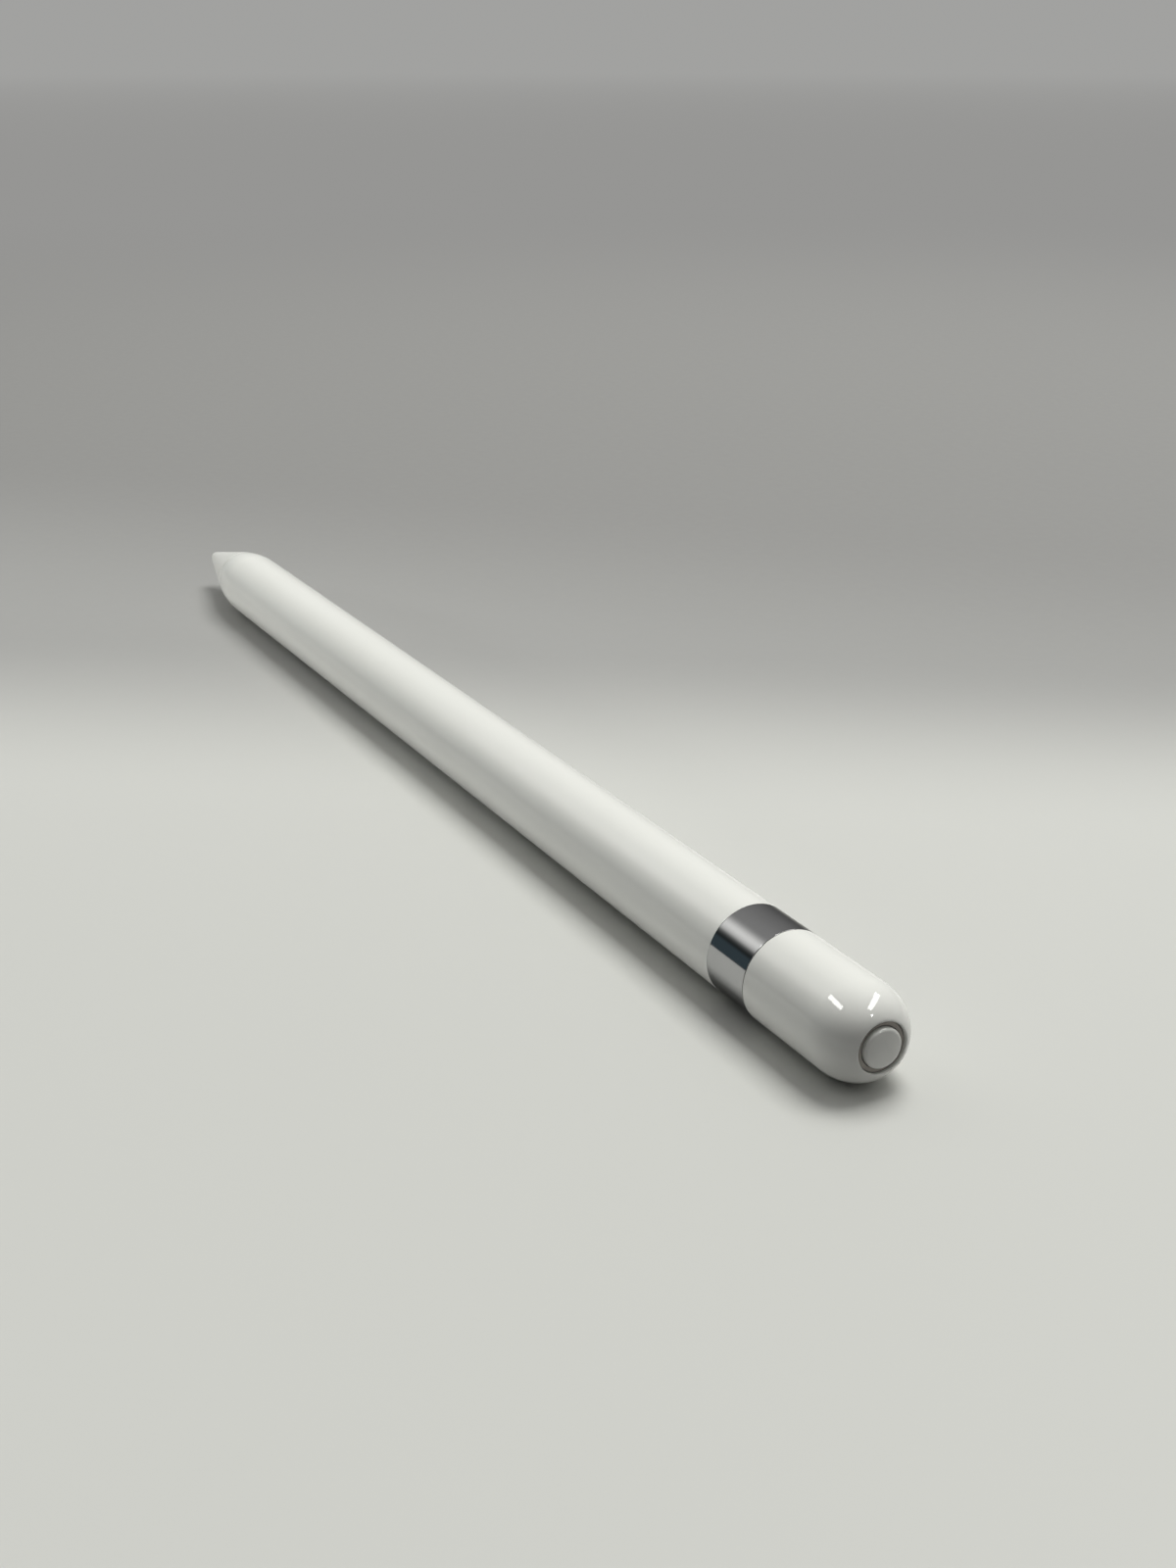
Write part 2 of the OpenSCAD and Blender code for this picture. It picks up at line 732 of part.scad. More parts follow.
// Half of a section through the plug, from its middle to a rounded edge
module edge_section(reach) {
    difference() {
        rounded_rectangle(2 * reach, plug_t, plug_edge_r);
        translate([-2 * reach, -plug_t]) square([2 * reach, 2 * plug_t]);
    }
}

// The part of the plug that shows, with the same rounded edge along its sides and its front
module tongue() {
    corner_x = plug_w / 2 - plug_corner_r;
    corner_a = plug_len - plug_corner_r;
    linear_extrude(corner_a) rounded_rectangle(plug_w, plug_t, plug_edge_r);
    translate([0, 0, corner_a]) rotate([0, -90, 0])
        linear_extrude(2 * corner_x, center = true) edge_section(plug_corner_r);
    for (side = [0, 180])
        rotate(side) translate([corner_x, 0, corner_a]) rotate([90, 0, 0])
            rotate_extrude(angle = 90) edge_section(plug_corner_r);
}

// Metal tongue with a root in the carrier and a notch in each side
module plug_shell() {
    notch_r = 0.45;
    notch_back = 4.4;
    color("silver") place() difference() {
        union() {
            slab(root_w, -plug_t / 2, plug_t / 2, root_a, spigot_a);
            translate([0, 0, spigot_a]) tongue();
        }
        plug_window(0, plug_t);
        for (x = [-1, 1])
            translate([x * (plug_w / 2 + notch_r / 2), plug_t, plug_end_a - notch_back])
                rotate([90, 0, 0]) cylinder(r = notch_r, h = 2 * plug_t);
    }
}

// Black plates that fill the plug's windows
module plug_insert() {
    color("black") place() plug_window(run, window_depth - contact_t);
}

// Rows of gold contacts with round ends on both faces of the plug
module plug_contacts() {
    first_x = -(contact_count - 1) * contact_pitch / 2;
    top = plug_t / 2;
    end_a = plug_end_a - window_inset - (contact_pitch - contact_w);
    color("gold") place() for (side = [0, 180], i = [0 : contact_count - 1])
        rotate(side) translate([first_x + i * contact_pitch, top, end_a - contact_len / 2])
            rotate([90, 0, 0]) linear_extrude(contact_t) stadium(contact_w, contact_len, $fn = 24);
}

// White cap with a domed end, a hollow for the plug and a pocket for the end disc
module cap_shell() {
    hollow_taper = 1.6;
    color("whitesmoke") place() difference() {
        rotate_extrude() polygon(concat(
            [[0, cap_a], [barrel_r, cap_a]],
            dome_points(14),
            [[0, total_len]]
        ));
        rotate_extrude() polygon([
            [0, cap_a - cut], [cap_bore_r, cap_a - cut], [cap_bore_r, cap_floor_a - hollow_taper],
            [cap_bore_r - hollow_taper, cap_floor_a], [0, cap_floor_a]
        ]);
        rod(cap_seat_r, cap_a - cut, cap_ring_end_a);
        translate([0, 0, cap_a - mouth_bevel]) cylinder(
            r1 = cap_seat_r + 2 * mouth_bevel, r2 = cap_seat_r - mouth_bevel, h = 3 * mouth_bevel);
        rod(pocket_r, pocket_a, total_len + cut);
    }
}

// Steel ring in the cap's mouth, which the magnets pull
module cap_ring() {
    color("silver") place()
        tube(cap_ring_r, cap_ring_bore_r, cap_ring_a, cap_ring_end_a);
}

// Dark polished ring at the bottom of the groove
module cap_end_ring() {
    color("dimgray") place()
        tube(pocket_r - run, disc_d / 2 + run, pocket_a, total_len - ring_recess);
}

// White disc in the middle of the cap's end, with a rounded rim and a slight crown
module cap_end_disc() {
    crown_r = disc_d / 2 - disc_rim;
    crown_a = total_len - disc_crown;
    color("whitesmoke") place() rotate_extrude() polygon(concat(
        [[0, pocket_a], [disc_d / 2, pocket_a]],
        rim_points(disc_d / 2, crown_a, disc_rim),
        [for (k = [0.8, 0.6, 0.4, 0.2, 0]) [crown_r * k, total_len - disc_crown * k * k]]
    ));
}

barrel();
nib_shell();
nib_core();
sensor_post();
post_insulator();
contact_pin();
post_collar();
nose_bush();
tilt_electrode();
sensor_housing();
sensor_flexure();
flexure_clamp();
sensor_board();
sensor_cable();
inner_frame();
lower_board();
upper_board();
board_fold();
board_shield();
board_chips();
battery_cell();
battery_cap();
battery_tabs();
spine_cable();
antenna_coax();
antenna_holder();
antenna();
plug_carrier();
carrier_magnets();
band();
plug_shell();
plug_insert();
plug_contacts();
cap_shell();
cap_ring();
cap_end_ring();
cap_end_disc();
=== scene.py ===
# %% [markdown]
# # A white stylus, dressed for its picture
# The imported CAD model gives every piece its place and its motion. Here we give the pieces
# that show a finer surface, give every piece a finish, and set up the light and the camera.
# Everything is in metres, in the frame of the CAD model: the barrel lies along X, the writing
# point is at -X, the cap is at +X, and the floor is Z = 0.

# %% Load the fixed frame
import json
import math

import bmesh
import bpy
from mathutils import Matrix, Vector


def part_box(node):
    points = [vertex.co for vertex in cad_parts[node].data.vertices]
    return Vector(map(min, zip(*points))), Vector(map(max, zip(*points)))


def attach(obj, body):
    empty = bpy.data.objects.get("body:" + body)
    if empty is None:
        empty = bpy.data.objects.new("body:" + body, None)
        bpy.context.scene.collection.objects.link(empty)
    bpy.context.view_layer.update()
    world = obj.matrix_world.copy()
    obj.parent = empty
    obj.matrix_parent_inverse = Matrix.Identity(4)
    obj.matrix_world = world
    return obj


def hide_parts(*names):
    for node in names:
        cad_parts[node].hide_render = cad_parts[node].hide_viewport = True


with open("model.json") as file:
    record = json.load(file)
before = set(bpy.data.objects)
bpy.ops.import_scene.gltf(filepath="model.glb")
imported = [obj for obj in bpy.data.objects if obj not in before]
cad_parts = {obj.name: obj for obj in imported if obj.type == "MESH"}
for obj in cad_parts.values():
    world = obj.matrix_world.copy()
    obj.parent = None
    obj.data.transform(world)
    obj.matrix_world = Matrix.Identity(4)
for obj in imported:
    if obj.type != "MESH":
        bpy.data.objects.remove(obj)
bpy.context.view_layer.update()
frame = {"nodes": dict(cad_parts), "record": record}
MM = 0.001
slot_of = {piece["node"]: piece["material_slot"] for piece in frame["record"]["subparts"]}

# %% [markdown]
# ## The camera
# The picture was taken from a hand's breadth behind the cap, a little above it and to one side,
# so the barrel runs away from us and gets thinner towards its point. Position, direction and
# focal length were worked out from the outline of the barrel. The roll is zero, so one vector is
# enough, the way forward: the camera's right then stays level.

# %% Place the camera
LENS, SENSOR_WIDTH = 43.73, 36


def place_camera(position, forward, lens):
    data = bpy.data.cameras.new("picture_camera")
    data.lens = lens
    data.sensor_width = SENSOR_WIDTH
    data.clip_start, data.clip_end = 0.01, 50
    camera = bpy.data.objects.new("picture_camera", data)
    bpy.context.scene.collection.objects.link(camera)
    camera.location = position
    camera.rotation_euler = Vector(forward).to_track_quat("-Z", "Y").to_euler()
    bpy.context.scene.camera = camera
    return camera


camera_at = Vector((0.194763, -0.082341, 0.078631))
looking = Vector((-0.82629, 0.4315, -0.36202))
camera = place_camera(camera_at, looking, LENS)
print("camera at", tuple(round(v, 4) for v in camera.location), "lens", camera.data.lens)

# %% [markdown]
# ## Writing node trees as sums
# A shader or geometry tree is easier to read as a sum than as a list of links. `Wire` holds one
# output socket, and its operators add Math nodes. The reflected forms let us write `1 - mask`.
# `Bench.add` makes any other node: its type, its settings, which come first because they can
# change the sockets, and then the value or the wire of each socket.

# %% Wire and Bench
class Wire:
    def __init__(self, bench, node, socket):
        self.bench, self.node, self.socket = bench, node, socket

    def out(self, name):
        return Wire(self.bench, self.node, self.node.outputs[name])

    def math(self, operation, *others):
        return self.bench.math(operation, self, *others)

    def __add__(self, other): return self.math("ADD", other)
    def __radd__(self, other): return self.math("ADD", other)
    def __sub__(self, other): return self.math("SUBTRACT", other)
    def __rsub__(self, other): return self.bench.math("SUBTRACT", other, self)
    def __mul__(self, other): return self.math("MULTIPLY", other)
    def __rmul__(self, other): return self.math("MULTIPLY", other)
    def __truediv__(self, other): return self.math("DIVIDE", other)
    def __rtruediv__(self, other): return self.bench.math("DIVIDE", other, self)
    def __abs__(self): return self.math("ABSOLUTE")

    def clamped(self):
        return self.bench.add("ShaderNodeClamp", {}, {0: self})

    def step(self, low, high):
        """0 below low, 1 above high and a soft S between them."""
        return self.bench.add("ShaderNodeMapRange", {"interpolation_type": "SMOOTHSTEP"},
                              {0: self, 1: low, 2: high})


class Bench:
    def __init__(self, tree):
        self.tree = tree
        tree.nodes.clear()

    def add(self, kind, settings=None, sockets=None, out=0):
        node = self.tree.nodes.new(kind)
        for key, value in (settings or {}).items():
            setattr(node, key, value)
        for key, value in (sockets or {}).items():
            if isinstance(value, Wire):
                self.tree.links.new(value.socket, node.inputs[key])
            else:
                node.inputs[key].default_value = value
        return Wire(self, node, node.outputs[out]) if len(node.outputs) else node

    def math(self, operation, *values):
        return self.add("ShaderNodeMath", {"operation": operation}, dict(enumerate(values)))

    def mix(self, factor, first, second):
        """Blend of two colours, by a factor from 0 to 1."""
        return self.add("ShaderNodeMix", {"data_type": "RGBA"},
                        {0: factor, 6: first, 7: second}, 2)


print("tree helpers ready")

# %% [markdown]
# ## Turned pieces
# Nearly all that shows of this stylus is round about one axis: point, barrel, band, cap, disc.
# On the real object they are turned or moulded round, so the rule for all of them is the same:
# an outline, swept about the axis. A Screw modifier could do it, but one Geometry Nodes tree can
# also cut a screw thread into the same sweep. It lays out a grid with one row for each point of
# the outline and one column for each step round the axis, and bends it into place.

# %% The tree that turns an outline
WELD_DISTANCE = 1e-7


def tree_inputs(tree):
    return {item.name: item.identifier for item in tree.interface.items_tree
            if item.in_out == "INPUT"}


def new_geometry_tree(name, inputs):
    tree = bpy.data.node_groups.new(name, "GeometryNodeTree")
    tree.is_modifier = True
    for label, kind in inputs:
        tree.interface.new_socket(label, in_out="INPUT", socket_type="NodeSocket" + kind)
    tree.interface.new_socket("Geometry", in_out="OUTPUT", socket_type="NodeSocketGeometry")
    return tree


def turning_tree():
    tree = new_geometry_tree("turn_an_outline", [
        ("Outline", "Geometry"), ("Steps round", "Int"), ("Axis height", "Float"),
        ("Thread pitch", "Float"), ("Thread depth", "Float"), ("Thread start", "Float"),
        ("Thread end", "Float"), ("Finish", "Material")])
    bench = Bench(tree)
    given = bench.add("NodeGroupInput")
    steps, pitch = given.out("Steps round"), given.out("Thread pitch")
    count = bench.add("GeometryNodeAttributeDomainSize", {"component": "MESH"}, {0: given})
    grid = bench.add("GeometryNodeMeshGrid", {}, {"Vertices X": count, "Vertices Y": steps + 1})
    index = bench.add("GeometryNodeInputIndex")
    row = ((index + 0.5) / (steps + 1)).math("FLOOR")
    turn = (index - row * (steps + 1)) / steps
    point = bench.add("GeometryNodeSampleIndex", {"data_type": "FLOAT_VECTOR"},
                      {0: given, "Value": bench.add("GeometryNodeInputPosition"), "Index": row})
    part = bench.add("ShaderNodeSeparateXYZ", {}, {0: point})
    station, radius = part.out("X"), part.out("Z")
    # a right-hand thread: its groove moves on by one pitch in each turn
    tooth = abs((station / pitch - turn).math("FRACT") * 2 - 1)
    groove = ((tooth - 0.15) / 0.7).clamped()
    fade = pitch * 0.5
    inside = (((station - given.out("Thread start")) / fade).clamped()
              * ((given.out("Thread end") - station) / fade).clamped())
    radius = radius - given.out("Thread depth") * groove * inside
    angle = turn * math.tau
    place = bench.add("ShaderNodeCombineXYZ", {}, {
        0: station, 1: radius * angle.math("COSINE"),
        2: radius * angle.math("SINE") + given.out("Axis height")})
    bent = bench.add("GeometryNodeSetPosition", {}, {0: grid, "Position": place})
    closed = bench.add("GeometryNodeMergeByDistance", {}, {0: bent, "Distance": WELD_DISTANCE})
    smooth = bench.add("GeometryNodeSetShadeSmooth", {}, {0: closed})
    real = bench.add("GeometryNodeRealizeInstances", {}, {0: smooth})
    done = bench.add("GeometryNodeSetMaterial", {}, {0: real, "Material": given.out("Finish")})
    bench.add("NodeGroupOutput", {}, {0: done})
    return tree


turn_an_outline = turning_tree()
print("turning tree:", len(turn_an_outline.nodes), "nodes")

# %% [markdown]
# ## From tree to plain mesh
# The export keeps meshes, not modifiers. So each piece is evaluated once, the result becomes its
# mesh, the modifier goes, and the faces are turned outwards. Then the piece rides on its body and
# stands for its CAD node.

# %% Make a piece plain and hand it over
NO_LENGTH = 1e-8


def run_tree(obj, tree, **inputs):
    modifier = obj.modifiers.new(tree.name, "NODES")
    modifier.node_group = tree
    names = tree_inputs(tree)
    for label, value in inputs.items():
        modifier[names[label.replace("_", " ")]] = value
    shown = obj.evaluated_get(bpy.context.evaluated_depsgraph_get())
    mesh = bpy.data.meshes.new_from_object(shown)
    obj.modifiers.clear()
    old, obj.data = obj.data, mesh
    bpy.data.meshes.remove(old)
    work = bmesh.new()
    work.from_mesh(mesh)
    bmesh.ops.dissolve_degenerate(work, edges=work.edges, dist=NO_LENGTH)
    bmesh.ops.recalc_face_normals(work, faces=work.faces)
    open_edges = sum(not edge.is_manifold for edge in work.edges)
    work.to_mesh(mesh)
    work.free()
    mesh.name = obj.name
    return open_edges


def hand_over(obj, body, node):
    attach(obj, body)
    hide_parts(node)


print("hand-over helpers ready")

# %% [markdown]
# ## Sizes from the CAD model
# We ask the CAD nodes where they are, instead of typing their places again. A station is a
# distance in millimetres from the writing point along the axis, as a turner marks it.

# %% Measure the nodes
tip_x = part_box("nib_shell")[0].x
axis_z = sum(corner.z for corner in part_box("barrel")) / 2
barrel_r = (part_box("barrel")[1].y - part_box("barrel")[0].y) / 2 / MM


def stations(node):
    """First and last station of a node, and its outer radius, in millimetres."""
    low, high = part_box(node)
    return (low.x - tip_x) / MM, (high.x - tip_x) / MM, (high.y - low.y) / 2 / MM


nib_base = stations("nib_shell")[1]
nose, barrel_end, _ = stations("barrel")
band_end = stations("band")[1]
cap_mouth, cap_end, _ = stations("cap_shell")
print("stations in mm:", [round(v, 2) for v in (nib_base, nose, barrel_end, band_end, cap_end)])

# %% [markdown]
# ## Outlines with eased corners
# No real edge is perfectly sharp. A moulded corner has a radius of a few hundredths of a
# millimetre, and that tiny round is what catches the light. `eased` rounds each corner by its own
# radius and, where the straight is long enough, sets a support point beside it, so that smooth
# shading stays flat on the flats.

# %% Ease the corners and turn the outline
SUPPORT_AT, ROOM_FOR_SUPPORT = 1.8, 3
THREAD_PITCH = 0.6
NO_THREAD = (THREAD_PITCH, 0.0, 0.0, 0.0)


def eased(outline, closed, steps=4):
    points = []
    last = len(outline) - 1
    for i, (station, radius, ease) in enumerate(outline):
        here = Vector((station, radius))
        if not ease or (not closed and i in (0, last)):
            points.append(here)
            continue
        back = Vector(outline[i - 1][:2]) - here
        ahead = Vector(outline[(i + 1) % (last + 1)][:2]) - here
        half = back.angle(ahead) / 2
        reach = ease / math.tan(half)
        back_way, ahead_way = back.normalized(), ahead.normalized()
        centre = here + (back_way + ahead_way).normalized() * (ease / math.sin(half))
        start, end = here + back_way * reach - centre, here + ahead_way * reach - centre
        if back.length > ROOM_FOR_SUPPORT * reach:
            points.append(here + back_way * reach * SUPPORT_AT)
        sweep = start.angle_signed(end)
        for k in range(steps + 1):
            t = -sweep * k / steps
            points.append(centre + Vector((start.x * math.cos(t) - start.y * math.sin(t),
                                           start.x * math.sin(t) + start.y * math.cos(t))))
        if ahead.length > ROOM_FOR_SUPPORT * reach:
            points.append(here + ahead_way * reach * SUPPORT_AT)
    return points + points[:1] if closed else points


def turned(name, outline, finish, body, closed=True, steps=192, thread=NO_THREAD):
    """A round piece from an outline of (station, radius, ease) in millimetres."""
    points = eased(outline, closed)
    mesh = bpy.data.meshes.new(name)
    mesh.from_pydata([(tip_x + p.x * MM, 0, p.y * MM) for p in points],
                     [(i, i + 1) for i in range(len(points) - 1)], [])
    piece = bpy.data.objects.new("turned_" + name, mesh)
    bpy.context.scene.collection.objects.link(piece)
    pitch, depth, start, end = thread
    open_edges = run_tree(
        piece, turn_an_outline, Steps_round=steps, Axis_height=axis_z, Thread_pitch=pitch * MM,
        Thread_depth=depth * MM, Thread_start=tip_x + start * MM, Thread_end=tip_x + end * MM,
        Finish=finish)
    hand_over(piece, body, name)
    print(piece.name, "faces:", len(piece.data.polygons), "open edges:", open_edges)


print("outlines ready")

# %% [markdown]
# ## Helpers for finishes
# A finish reads Object coordinates, which on these pieces are the frame's own metres, so a grain
# keeps its size on every piece. `place_mm` turns them into millimetres. A constant goes on the
# shader's own socket, and only what varies is wired.

# %% Start and end a finish
def new_finish(name):
    material = bpy.data.materials.new(name)
    material.use_nodes = True
    return material, Bench(material.node_tree)


def place_mm(bench, stretch=(1, 1, 1)):
    place = bench.add("ShaderNodeTexCoord", out="Object")
    scale = tuple(s / MM for s in stretch)
    return bench.add("ShaderNodeVectorMath", {"operation": "MULTIPLY"}, {0: place, 1: scale})


def cloud(bench, place, scale, detail=2.0):
    """Soft noise from 0 to 1, with `scale` lumps to the millimetre."""
    return bench.add("ShaderNodeTexNoise", {}, {"Vector": place, "Scale": scale, "Detail": detail})


def bumped(bench, height, strength, depth_mm):
    return bench.add("ShaderNodeBump", {}, {"Strength": strength, "Distance": depth_mm * MM,
                                            "Height": height})


def surface(bench, **sockets):
    shader = bench.add("ShaderNodeBsdfPrincipled", {}, {
        label.replace("_", " "): value for label, value in sockets.items()})
    bench.add("ShaderNodeOutputMaterial", {}, {"Surface": shader})


print("finish helpers ready")

# %% [markdown]
# ## Gloss white
# The barrel and cap are moulded white plastic, ground round, lacquered and polished. Up close
# such a lacquer is never quite even: it has a faint orange-peel ripple, fingers leave patches that
# are a little less sharp, and the white wanders by a hair. All three come from soft noise.

# %% The white of barrel and cap
def gloss_white():
    finish, bench = new_finish("gloss_white")
    place = place_mm(bench)
    tone = cloud(bench, place, 0.06)
    smudge = cloud(bench, place, 0.22, 4.0)
    peel = cloud(bench, place, 1.1, 1.0)
    surface(bench,
            Base_Color=bench.mix(tone, (0.875, 0.88, 0.835, 1), (0.895, 0.90, 0.86, 1)),
            Roughness=0.035 + smudge * 0.05,
            IOR=1.52,
            Normal=bumped(bench, peel, 0.025, 0.01))
    return finish


white = gloss_white()
print("made", white.name)

# %% [markdown]
# ## The nib's white
# The writing point is a harder, plainer plastic that slides on glass. It has a silkier surface
# than the lacquered barrel, and its very end is polished by use, so the roughness falls there.

# %% The white of the point
def nib_white():
    finish, bench = new_finish("nib_white")
    place = place_mm(bench)
    station = bench.add("ShaderNodeSeparateXYZ", {}, {0: place}) - tip_x / MM
    worn = 1 - station.step(0.3, 2.5)
    tone = cloud(bench, place, 0.12)
    grain = cloud(bench, place, 5.0, 3.0)
    surface(bench,
            Base_Color=bench.mix(tone, (0.865, 0.87, 0.825, 1), (0.885, 0.89, 0.85, 1)),
            Roughness=0.16 + grain * 0.10 - worn * 0.08,
            IOR=1.49,
            Normal=bumped(bench, grain, 0.08, 0.006))
    return finish


point_white = nib_white()
print("made", point_white.name)

# %% [markdown]
# ## The point and the barrel
# A straight cone runs from the round point towards the barrel, and a large arc lets it end without
# an edge. The seam between point and barrel lies on that curve, so both pieces use the same
# function of the station: that is what keeps the outline unbroken across the seam.

# %% The outline of the taper
POINT_R, TAPER_LEN, BLEND_R = 0.9, 20.0, 30.0
run, rise = TAPER_LEN - POINT_R, BLEND_R - barrel_r
cone_angle = math.atan2(run, rise) - math.acos((BLEND_R - POINT_R) / math.hypot(run, rise))
cone_from = POINT_R * (1 - math.sin(cone_angle))
cone_to = TAPER_LEN - BLEND_R * math.sin(cone_angle)


def taper_radius(station):
    """The outer radius of point and barrel at a station."""
    if station < cone_to:
        return POINT_R * math.cos(cone_angle) + (station - cone_from) * math.tan(cone_angle)
    if station < TAPER_LEN:
        return barrel_r - BLEND_R + math.sqrt(BLEND_R ** 2 - (TAPER_LEN - station) ** 2)
    return barrel_r


def spread(first, last, count):
    """Evenly spaced values, both ends included."""
    return [first + (last - first) * k / (count - 1) for k in range(count)]


def tapered(places):
    return [(place, taper_radius(place), 0) for place in places]


print("cone angle in degrees:", round(math.degrees(cone_angle), 2))

# %% Turn the point and the barrel
SEAM_EASE, SEAM_RUN = 0.07, 0.3
# inside the point: the seat of its metal core, and the bore for the core's tip
SEAT_R, SEAT_END = 2.03, 8.32
BORE_R, BORE_FROM, BORE_END = 0.53, 7.52, 2.97
round_point = [(POINT_R * (1 - math.cos(t)), POINT_R * math.sin(t), 0)
               for t in spread(0, math.pi / 2 - cone_angle, 18)]
cone = tapered(spread(1.5, 13.0, 6) + spread(cone_to, nib_base - SEAM_RUN, 4))
core_seat = [(nib_base, SEAT_R, 0.05), (SEAT_END, SEAT_R, 0), (BORE_FROM, BORE_R, 0),
             (BORE_END, BORE_R, 0), (BORE_END, 0, 0)]
nib_edge = [(nib_base, taper_radius(nib_base), SEAM_EASE)]
turned("nib_shell", round_point + cone + nib_edge + core_seat, point_white, "nib", closed=False)

# inside the barrel: the wall, and the narrower nose in front of a shoulder
WALL_R, NOSE_BORE_R, SHOULDER = 3.65, 2.9, 19.0
nose_edge = [(nose, taper_radius(nose), SEAM_EASE)]
blend = tapered(spread(nose + SEAM_RUN, TAPER_LEN, 22))
turned("barrel", nose_edge + blend + [
    (barrel_end, barrel_r, 0.06), (barrel_end, WALL_R, 0.05), (SHOULDER, WALL_R, 0),
    (SHOULDER, NOSE_BORE_R, 0.05), (nose, NOSE_BORE_R, 0.05)], white, "barrel", steps=256)

# %% [markdown]
# ## The polished band
# Between barrel and cap sits a steel ring, polished until it mirrors the room. Its face is
# bare. A mirror is only as lively as what it shows, so the room matters here as much as the
# finish: the finish adds the hairlines that polishing leaves round the ring, and patches where a
# thumb has dulled it.

# %% The band
def metal(name, light, dark, rough, stretch, depth_mm, edge=1.0, patches=0.3):
    """Metal with a grain: `stretch` says how many lines a millimetre holds along each axis, and
    `edge` how much of its shine is left where the eye meets it at a flat angle."""
    finish, bench = new_finish(name)
    low, high = rough
    grain = cloud(bench, place_mm(bench, stretch), 1.0, 3.0)
    patch = cloud(bench, place_mm(bench), patches, 3.0)
    surface(bench,
            Base_Color=bench.mix(grain * 0.6 + patch * 0.4, (*dark, 1), (*light, 1)),
            Roughness=low + grain * (high - low) * 0.6 + patch * (high - low) * 0.4,
            Metallic=1.0,
            Specular_Tint=(edge, edge, edge, 1),
            Normal=bumped(bench, grain, 0.15, depth_mm))
    return finish


mirror_steel = metal("mirror_steel", (0.50, 0.50, 0.505), (0.44, 0.44, 0.445), (0.03, 0.09),
                     (14, 0.25, 0.25), 0.0015, edge=0.35)
band_inner = barrel_r - 0.5
turned("band", [(barrel_end, barrel_r, 0.04), (band_end, barrel_r, 0.02),
                (band_end, band_inner, 0.04), (barrel_end, band_inner, 0.04)],
       mirror_steel, "barrel", steps=256)

# %% [markdown]
# ## The cap
# The cap is a thimble: a straight wall, a domed end whose section is a quarter of an ellipse, and
# in the middle of the dome a round pocket. Inside, a step in the mouth holds a steel ring and the
# hollow narrows to clear the plug. One outline gives the outside, the pocket and the hollow.

# %% Turn the cap
DOME_LEN, DOME_FLAT, POCKET_R = 4.4, 1.25, 2.28
# inside the cap: the bevelled mouth, the seat of the steel ring, and the hollow for the plug
MOUTH_BEVEL = 0.15
RING_SEAT_R, RING_SEAT_END = 3.95, 165.0
HOLLOW_R, HOLLOW_END = 3.75, 171.3
HOLLOW_TOP_R, HOLLOW_TOP = 2.15, 172.9
pocket_floor, total_end, _ = stations("cap_end_disc")
dome_width = barrel_r - DOME_FLAT
pocket_edge = math.acos((POCKET_R - DOME_FLAT) / dome_width)


def dome(t):
    """A point of the dome's outline, from its wall (0) to its top (a quarter turn)."""
    return total_end - DOME_LEN * (1 - math.sin(t)), DOME_FLAT + dome_width * math.cos(t), 0


pocket = [(pocket_floor, 0, 0), (pocket_floor, POCKET_R, 0), (dome(pocket_edge)[0], POCKET_R, 0.1)]
dome_edge = [dome(t) for t in spread(pocket_edge - 0.09, 0, 30)]
mouth = [(cap_mouth, barrel_r, 0.02), (cap_mouth, RING_SEAT_R + MOUTH_BEVEL, 0.03),
         (cap_mouth + MOUTH_BEVEL, RING_SEAT_R, 0.03)]
hollow = [(RING_SEAT_END, RING_SEAT_R, 0), (RING_SEAT_END, HOLLOW_R, 0), (HOLLOW_END, HOLLOW_R, 0),
          (HOLLOW_TOP, HOLLOW_TOP_R, 0), (HOLLOW_TOP, 0, 0)]
turned("cap_shell", pocket + dome_edge + mouth + hollow, white, "cap", closed=False, steps=256)

# %% [markdown]
# ## Trim ring and end disc
# A groove runs round a small white disc at the cap's end. A dark ring lies at the bottom of the
# groove and frames the disc. Its dark colour is partly the ring's own and partly painted shade of
# the groove, and its shine is dull. The disc is a fixed plug with a softly rounded rim and a
# slight crown, and the round of its rim is the pale line that the light draws round it.

# %% Turn the ring and the disc
# the ring's dark colour is partly its own and partly painted shade of the groove
dark_trim = metal("dark_trim", (0.215, 0.201, 0.188), (0.15, 0.14, 0.131), (0.30, 0.42),
                  (12, 1, 1), 0.002)
RING_OUTER, RING_INNER, RING_DISH = 2.25, 1.83, 0.05
ring_from, ring_to, _ = stations("cap_end_ring")
turned("cap_end_ring", [
    (ring_from, RING_OUTER, 0), (ring_to, RING_OUTER, 0.05),
    (ring_to - RING_DISH, (RING_OUTER + RING_INNER) / 2, 0),
    (ring_to, RING_INNER, 0.05), (ring_from, RING_INNER, 0)], dark_trim, "cap", steps=128)

DISC_R, RIM_R, CROWN = 1.8, 0.3, 0.08
rim = [(total_end - CROWN - RIM_R * (1 - math.sin(t)), DISC_R - RIM_R * (1 - math.cos(t)), 0)
       for t in spread(0, math.pi / 2, 10)]
crown = [(total_end - CROWN * k * k, (DISC_R - RIM_R) * k, 0) for k in spread(0.95, 0, 10)]
turned("cap_end_disc", [(pocket_floor, 0, 0), (pocket_floor, DISC_R, 0)] + rim + crown,
       white, "cap", closed=False, steps=128)

# %% [markdown]
# ## The threaded post
# Unscrew the point and a steel post shows, with a fine thread that the point runs on. In the CAD
# model the thread is a plain cylinder. Here the turning tree cuts the groove: 0.6 mm for each
# turn, so six turns free the point. Rows every twentieth of a millimetre follow the flanks.

